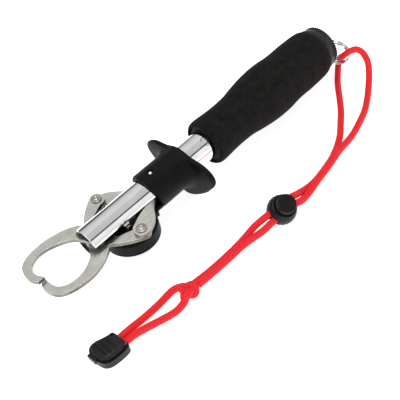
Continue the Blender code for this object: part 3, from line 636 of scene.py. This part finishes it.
def set_studio():
    """A pale floor, a soft sky with a narrow dark band on the +Y side, and two softboxes."""
    turns = [2 * math.pi * i / 64 for i in range(64)]
    ring = [(HORIZON * math.cos(a), HORIZON * math.sin(a)) for a in turns]
    look, tree, shader = base_material("floor_paper", specular=0.0)
    fine = noise_at(tree, 2.0, detail=3.0)
    tree.links.new(blended(tree, fine, (0.93, 0.93, 0.93), (0.95, 0.95, 0.95)), shader.inputs["Base Color"])
    shader.inputs["Roughness"].default_value = 0.9
    shader.inputs["Emission Color"].default_value = (1, 1, 1, 1)
    shader.inputs["Emission Strength"].default_value = FLOOR_GLOW
    data = bpy.data.meshes.new("floor")
    data.from_pydata([(x, y, FLOOR - 0.0004) for x, y in ring], [], [tuple(range(64))])
    data.materials.append(look)
    link("floor", data)

    world = bpy.data.worlds.new("studio_sky")
    bpy.context.scene.world = world
    world.use_nodes = True
    tree = world.node_tree
    tree.nodes.clear()
    place = add(tree, "ShaderNodeTexCoord")
    parts = add(tree, "ShaderNodeSeparateXYZ")
    tree.links.new(place.outputs["Generated"], parts.inputs["Vector"])
    sky = add(tree, "ShaderNodeValToRGB")
    bands = sky.color_ramp.elements
    while len(bands) < len(SKY):
        bands.new(0.5)
    for band, (place_on_sky, level) in zip(bands, SKY):
        band.position = place_on_sky
        band.color = (level, level, level, 1.0)
    across = add(tree, "ShaderNodeMath", operation="MULTIPLY_ADD")
    across.inputs[1].default_value = 0.5
    across.inputs[2].default_value = 0.5
    tree.links.new(parts.outputs["Y"], across.inputs[0])
    tree.links.new(across.outputs["Value"], sky.inputs["Fac"])
    lit = add(tree, "ShaderNodeBackground", strength=1.0)
    seen = add(tree, "ShaderNodeBackground", strength=1.0)
    tree.links.new(sky.outputs["Color"], lit.inputs["Color"])
    seen.inputs["Color"].default_value = (1, 1, 1, 1)
    path = add(tree, "ShaderNodeLightPath")
    mix = add(tree, "ShaderNodeMixShader")
    out = add(tree, "ShaderNodeOutputWorld")
    tree.links.new(path.outputs["Is Camera Ray"], mix.inputs["Fac"])
    tree.links.new(lit.outputs["Background"], mix.inputs[1])
    tree.links.new(seen.outputs["Background"], mix.inputs[2])
    tree.links.new(mix.outputs["Shader"], out.inputs["Surface"])

    area_light("key_softbox", (0.20, 0.10, 1.40), (0, 0, 0.02), (0.5, 0.8), 6.5)
    area_light("side_softbox", (0.85, -0.70, 0.90), (0, 0, 0.02), (0.8, 0.6), 0.8)
    bpy.context.scene.view_settings.view_transform = "Standard"


# ---- lanyard ---------------------------------------------------------------------------------------------

def braid_relief(around, run):
    """Height of the braid's strands above and below the cord's surface, in millimetres."""
    one = math.sin(2 * math.pi * (CARRIERS * around + run / PICK))
    two = math.sin(2 * math.pi * (CARRIERS * around - run / PICK))
    return 0.03 * (max(one, two) - 1.0)


def lock_axes():
    up = BUTTON_AXIS.normalized()
    along = (CORD_WAY - CORD_WAY.dot(up) * up).normalized()
    return up, along, up.cross(along)


def lanyard_route():
    """The loop's route: from the knot through the lock, round the split ring and back, as in the CAD model."""
    to_knot_a = [(-26.9, 56.8, 2.5), (-38, 57.8, 2.2), (-51, 58.3, 2.2), (-62, 58.3, 2.4), (-70, 58.6, 3.9)]
    to_knot_a += [(-76.5, 59.6, 6.6), (-81.0, 61.4, 9.0)]
    to_knot_b = [(-26.9, 60.8, 4.5), (-38, 61.7, 4.7), (-51, 62.2, 4.7), (-62, 62.4, 4.9), (-70, 63.7, 5.2)]
    to_knot_b += [(-77.5, 66.0, 6.6)]
    up, along, beside = lock_axes()
    through_a = [tuple(LOCK + s * along - 2.42 * beside) for s in (10, 0, -10)]
    through_b = [tuple(LOCK + s * along + 2.42 * beside) for s in (10, 0, -10)]
    near_a = [(-109.8, 64.6, 8.4), (-116.8, 63.4, 4.8), (-123.2, 63.0, 2.8), (-129.5, 62.7, 2.2)]
    near_a += [(-135, 62.1, 2.2), (-141.5, 61.0, 2.2), (-149.2, 59.4, 2.2), (-154.8, 57.7, 2.2)]
    near_a += [(-161.5, 55.0, 2.2)]
    near_b = [(-108.8, 69.2, 6.6), (-114.2, 68.2, 5.0), (-120.8, 67.2, 5.0), (-126.5, 66.3, 5.6)]
    near_b += [(-133, 65.4, 5.9), (-139.1, 64.5, 6.0), (-146.5, 63.1, 6.0), (-154, 61.2, 5.6)]
    near_b += [(-162.5, 59.3, 4.2)]
    strand_a = [(-168.4, 51.5, 2.2), (-173.5, 48.3, 2.2), (-179.5, 43.9, 2.2), (-189.4, 36.6, 2.2)]
    strand_a += [(-199.3, 27.9, 2.2), (-211.4, 16.9, 2.2), (-221.5, 9.2, 2.3), (-227.2, 5.4, 3.6)]
    turn = [(-230.4, 4.6, 6.6), (-228.4, 7.2, 10.0), (-224.6, 11.0, 13.4), (-222.0, 14.4, 17.6)]
    turn += [(-221.2, 17.9, 21.6), (-223.4, 20.5, 23.6), (-227.2, 22.6, 23.0), (-229.4, 26.0, 19.6)]
    strand_b = [(-228.4, 30.2, 14.6), (-224.6, 33.8, 9.2), (-217.8, 38.1, 4.2), (-208, 44.0, 2.2)]
    strand_b += [(-196.9, 49.8, 2.2), (-180.3, 55.4, 2.2), (-170.5, 57.8, 2.7)]
    path = to_knot_a + through_a + near_a + strand_a + turn + strand_b + near_b[::-1] + through_b[::-1]
    return curve_through([lying(*p) for p in path + to_knot_b[::-1]], 12)


def build_lanyard():
    tail_a = [(-21.3, 57.3, 5.4), (-20.4, 53.6, 4.0), (-15.6, 50.0, 2.4), (-4.3, 50.5, 2.3)]
    tail_a += [(8.4, 50.3, 2.4), (17.3, 49.6, 2.6), (27.0, 49.3, 2.7), (33.0, 49.3, 2.7)]
    tail_b = [(-18.2, 59.6, 4.8), (-15.4, 61.2, 3.4), (-12.0, 61.9, 2.5), (-6.2, 62.0, 2.3)]
    tail_b += [(1.8, 59.8, 2.3), (10.8, 56.7, 2.4), (18.9, 54.5, 2.6), (27.0, 53.9, 2.7), (33.0, 53.9, 2.7)]
    routes = {
        "lanyard_loop": lanyard_route(),
        "lanyard_tail_a": curve_through([lying(*p) for p in tail_a], 12),
        "lanyard_tail_b": curve_through([lying(*p) for p in tail_b], 12),
    }
    cords = {}
    for name, route in routes.items():
        path = even_steps(route, CORD_STEP)
        piece = tube_mesh(name + "_braid", path, CORD_R, 36, BRAID, braid_relief)
        stand_in(piece, "red_braid", "handle", name)
        cords[name] = (piece, path)

    turns = []
    for i in range(96):
        t = 2 * math.pi * i / 96
        x, y = math.sin(t) + 2.0 * math.sin(2 * t), math.cos(t) - 2.0 * math.cos(2 * t)
        turns.append(lying(*KNOT) + Vector((x * 1.5, y * 1.5, -2.1 * math.sin(3 * t))) * MM)
    knot = tube_mesh("lanyard_knot_turns", turns, CORD_R + 0.15, 36, BRAID, braid_relief, closed=True)
    stand_in(knot, "red_braid", "handle", "lanyard_knot")
    return cords, knot


# ---- the tool's pieces -----------------------------------------------------------------------------------

def build_tube():
    wall = [(-165.0, 9.0), (-165.0, 10.0), (-0.25, 10.0), (0.0, 9.75), (0.0, 9.0)]
    tube = lathe("tube_shell", wall, ALONG, POLISHED, 128)
    side_slot = box("side_slot", (-60.0, -12, -3.06), (2, 12, 3.06))
    pin_slot = box("pin_slot", (-70.5, -2.4, -12), (-53.4, 2.4, 12))
    cross = rod("cross_hole", 1.3, -13, 13, placement(at(-162.5, 0, 0), (0, 1, 0)), steps=16)
    cut(tube, side_slot, pin_slot, cross)
    tube.data.shade_smooth()
    tube.data.set_sharp_from_angle(angle=math.radians(32))
    stand_in(tube, "polished_stainless", "tube", "main_tube")
    mark = []
    for i in range(33):
        a = math.pi * (0.15 + 1.7 * i / 32)
        along, across = -97.0 + 2.2 * math.cos(a), 2.9 * math.sin(a) + 0.5
        turn = across / 10.0 + math.radians(52)
        mark.append(at(along, 10.0 * math.cos(turn), 10.0 * math.sin(turn)))
    piece = tube_mesh("tube_scale_mark", mark, 0.2, 8, INK)
    stand_in(piece, "polished_stainless", "tube")


def close_tip(plate, hand):
    """Carries a jaw's blunt tip just past the middle line, so that the two layers overlap there."""
    for vert in plate.data.vertices:
        if abs(vert.co.y - MOUTH.y) < TIP_REACH and vert.co.x > at(*TIP_FROM).x:
            vert.co.y -= hand * TIP_OVERLAP


def build_linkage():
    for node, body, edge in (("jaw_right", "right_jaw", 0.28), ("jaw_left", "left_jaw", 0.28),
                             ("link_right", "right_link", 0.26), ("link_left", "left_link", 0.26)):
        plate = welded_copy(node, node + "_plate", SATIN)
        plate.data.materials.append(BLANKED_WALL_PAINTED_SHADE)
        # Faces that stand sideways take the dark wall material, which is painted shade on the plates' side
        # walls.
        for face in plate.data.polygons:
            face.material_index = 0 if abs(face.normal.z) > 0.5 else 1
        if node.startswith("jaw"):
            close_tip(plate, 1 if node == "jaw_right" else -1)
        round_edges(plate, edge, 3, EDGE)
        stand_in(plate, "satin_stainless", body, node)
    for side, body in (("right", "right_jaw"), ("left", "left_jaw")):
        low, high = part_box("rivet_" + side)
        middle = (low + high) / 2
        place = placement(Vector((middle.x, middle.y, MOUTH.z)), (0, 0, 1), (1, 0, 0))
        reach = 2.95
        head = [(-reach - 1.2, 0), (-reach - 1.2, 2.6), (-reach - 1.05, 3.0), (-reach - 0.7, 3.3), (-reach, 3.4)]
        head += [(-reach, 1.8), (reach, 1.8), (reach, 3.4), (reach + 0.32, 3.4), (reach + 0.5, 3.32)]
        head += [(reach + 0.6, 3.15), (reach + 0.6, 2.75), (reach + 0.54, 2.55), (reach + 0.62, 2.35)]
        head += [(reach + 0.95, 2.15), (reach + 1.25, 1.85), (reach + 1.42, 1.5), (reach + 1.5, 1.1)]
        head += [(reach + 1.45, 0.8), (reach + 1.25, 0.6), (reach + 1.05, 0.3), (reach + 1.0, 0)]
        rivet = lathe("rivet_" + side + "_head", head, place, RIVET, 48)
        rivet.data.set_sharp_from_angle(angle=math.radians(50))
        stand_in(rivet, "satin_stainless", body, "rivet_" + side)


def build_handle():
    outline = [(-100.1, 13.3), (-100.1, 13.9), (-100.25, 14.35), (-100.7, 14.8), (-102.0, 15.5)]
    outline += [(-104.5, 15.75)]
    outline += [(-108.3, 15.6), (-114.5, 15.2), (-120.5, 15.05), (-126.5, 15.15), (-132.5, 15.5)]
    outline += [(-139.0, 16.6), (-145.1, 17.5), (-150.5, 18.2), (-156.5, 18.6), (-162.0, 18.7)]
    outline += [(-166.9, 18.6), (-172.0, 18.1), (-177.4, 17.8), (-183.0, 17.8), (-188.5, 17.95)]
    outline += [(-199.3, 17.7), (-204.5, 17.3), (-207.0, 16.6), (-207.8, 16.0), (-208.0, 15.3)]
    outline += [(-208.0, 13.3)]
    smooth = [(p.x, p.y) for p in curve_through([(*p, 0) for p in outline[1:-1]], 4)]
    grip = lathe("foam_grip_sleeve", [outline[0], *smooth, outline[-1]], ALONG, FOAM, 96)
    stand_in(grip, "black_foam", "handle", "foam_grip")

    band = [(-212.5, 13.3), (-212.5, 14.7), (-212.3, 15.1), (-211.9, 15.32), (-210.4, 15.45), (-208.9, 15.5)]
    band += [(-208.5, 15.4), (-208.3, 15.1), (-208.3, 13.3)]
    ring = lathe("rear_band_ring", band, ALONG, BAND, 96)
    stand_in(ring, "cap_plastic", "handle", "grip_rear_band")

    cap = welded_copy("end_cap", "end_cap_knurled", BAND)
    round_edges(cap, 0.18, 2, None, 30.0)
    stand_in(cap, "cap_plastic", "handle", "end_cap")

    normal = RING_NORMAL.normalized()
    out = LUG_HOLE - RING_CENTRE
    out = (out - out.dot(normal) * normal).normalized()
    side = normal.cross(out)
    spots = []
    for angle in range(340, 981, 5):
        lift = 0.86 * max(-1.0, min(1.0, (angle - 660) / 40))
        a = math.radians(angle)
        spots.append(at(*(RING_CENTRE + RING_R * (math.cos(a) * out + math.sin(a) * side) + lift * normal)))
    ring = tube_mesh("split_ring_wire", spots, RING_WIRE, 20, POLISHED)
    stand_in(ring, "polished_stainless", "ring", "split_ring")


def build_lock():
    up, along, beside = lock_axes()
    place = placement(lying(*LOCK), up, along)

    def ridges(height, radius, a):
        fade = max(0.0, 1.0 - (height / (LOCK_R * 0.93)) ** 6)
        return radius - 0.17 * fade * (0.5 + 0.5 * math.cos(22 * a)) ** 2

    shell = [(-LOCK_R, 0)]
    for i in range(1, 30):
        a = math.radians(-90 + 6 * i)
        shell.append((LOCK_R * math.sin(a), LOCK_R * math.cos(a)))
    shell += [(LOCK_R, 0)]
    ball = lathe("cord_lock_ball", shell, place, LOCK_BLACK, 176, ridges)
    collar = [(5.2, 6.2), (5.2, 7.1), (6.35, 7.45), (6.85, 7.4), (7.05, 7.15), (7.05, 6.2)]
    rim = lathe("lock_rim", collar, place, LOCK_BLACK, 96)
    cut(ball, rim, operation="UNION")
    bore = rod("bore", BUTTON_R + 0.35, -5.9, 12, place, steps=72)
    pocket = rod("pocket", 3.0, -7.9, -5, place, steps=32)
    channel = box("channel", (-2.5, -12, -4.95), (2.5, 12, 4.95), place)
    cut(ball, bore, pocket, channel)
    ball.data.shade_smooth()
    ball.data.set_sharp_from_angle(angle=math.radians(38))
    stand_in(ball, "lock_plastic", "handle", "cord_lock_body")

    press = [(BUTTON_FOOT, 0), (BUTTON_FOOT, BUTTON_R), (8.9, BUTTON_R), (9.1, BUTTON_R - 0.12), (9.3, BUTTON_R)]
    press += [(10.9, BUTTON_R), (11.25, BUTTON_R - 0.1), (11.5, BUTTON_R - 0.4), (BUTTON_TOP, BUTTON_R - 0.8)]
    press += [(BUTTON_TOP - 0.02, 4.3), (BUTTON_TOP - 0.14, 3.9), (BUTTON_TOP - 0.2, 0)]
    button = lathe("lock_button_cap", press, place, LOCK_BLACK, 72)
    cut(button, box("slot", (-2.5, -8, -4.95), (4.5, 8, 4.95), place))
    button.data.shade_smooth()
    button.data.set_sharp_from_angle(angle=math.radians(38))
    stand_in(button, "lock_plastic", "lock_button", "cord_lock_button")
    return ball, button


def build_clip():
    base = welded_copy("clip_base", "clip_base_tray", CLIP_BLACK)
    cut(base, box("ear_trim", (26.0, 44.5, 5.9), (29.0, 59.0, 8.0), STANDING))
    round_edges(base, 0.35, 3, None, 35.0)
    stand_in(base, "clip_plastic", "handle", "clip_base")

    rim = [(29.1, 46.4), (32.8, 44.5), (36.4, 43.0), (39.4, 42.7), (41.6, 44.1), (42.8, 47.2), (43.0, 51.4)]
    rim += [(42.0, 55.0), (39.7, 57.2), (35.5, 58.2), (29.1, 58.4)]
    rim = [tuple(p) for p in curve_through([(*p, 0) for p in rim], 5)]
    outline = [(x, y) for x, y, _ in rim]
    lid = layered("clip_lid", [(5.0, outline), (6.95, outline)], STANDING, CLIP_BLACK)
    crown = [(26.2, 50.2), (26.3, 47.6), (27.2, 46.0), (29.6, 45.6), (32.8, 44.6), (36.4, 43.2), (39.3, 42.9)]
    crown += [(41.4, 44.2), (42.6, 47.2), (42.8, 51.4), (41.8, 54.9), (39.6, 57.0), (35.5, 58.0), (30.5, 58.2)]
    crown += [(27.6, 57.8), (26.4, 56.2), (26.2, 53.4)]
    ring = [(p.x, p.y) for p in closed_curve([(*p, 0) for p in crown], 4)]
    layers = [(6.9, inset(ring, 0.12)), (7.06, ring), (7.3, inset(ring, 0.1)), (7.55, inset(ring, 0.4))]
    layers += [(7.75, inset(ring, 0.9)), (7.9, inset(ring, 1.7)), (8.0, inset(ring, 2.8))]
    top = layered("crown", layers, STANDING, CLIP_BLACK)
    hinge = placement(lying(*CLIP_HINGE), (0, 1, 0), (1, 0, 0))
    barrel = rod("barrel", 1.05, -4.5, 4.5, hinge, CLIP_BLACK, 24)
    leaf = box("leaf", (27.4, 47.15, 5.0), (30.0, 56.15, 7.0), STANDING, CLIP_BLACK)
    tongue = box("tongue", (41.0, 45.5, 5.1), (45.4, 51.7, 6.1), STANDING, CLIP_BLACK)
    hook = box("hook", (44.5, 45.5, 2.6), (45.4, 51.7, 5.8), STANDING, CLIP_BLACK)
    cut(lid, top, barrel, leaf, tongue, hook, operation="UNION")
    pin_bore = rod("pin_bore", 0.8, -8, 8, hinge, steps=16)
    first = rod("groove_a", 0.55, -6.4, 6.4, placement(lying(32.5, 51.2, 8.05), (0.05, 1, 0)), steps=16)
    second = rod("groove_b", 0.55, -6.6, 6.6, placement(lying(35.9, 50.3, 8.05), (0.07, 1, 0)), steps=16)
    third = rod("groove_c", 0.45, -5.6, 5.6, placement(lying(38.9, 50.3, 7.95), (0.07, 1, 0)), steps=16)
    cut(lid, pin_bore, first, second, third)
    lid.data.shade_smooth()
    lid.data.set_sharp_from_angle(angle=math.radians(40))
    stand_in(lid, "clip_plastic", "lid", "clip_cover")
    return base, lid


def dress_nodes():
    """Every CAD node takes its slot's finish. Those that a finer piece stands for are hidden already."""
    for part in frame["record"]["subparts"]:
        data = frame["nodes"][part["node"]].data
        data.materials.clear()
        data.materials.append(SLOT_LOOKS[part["material_slot"]])


for spare in ("Cube", "Light", "Camera"):
    if spare in bpy.data.objects and spare not in frame["nodes"]:
        bpy.data.objects.remove(bpy.data.objects[spare])

set_camera()
cords, knot = build_lanyard()
lock_ball, lock_button = build_lock()
clip_base, clip_lid = build_clip()
build_tube()
build_linkage()
build_handle()
dress_nodes()
set_studio()
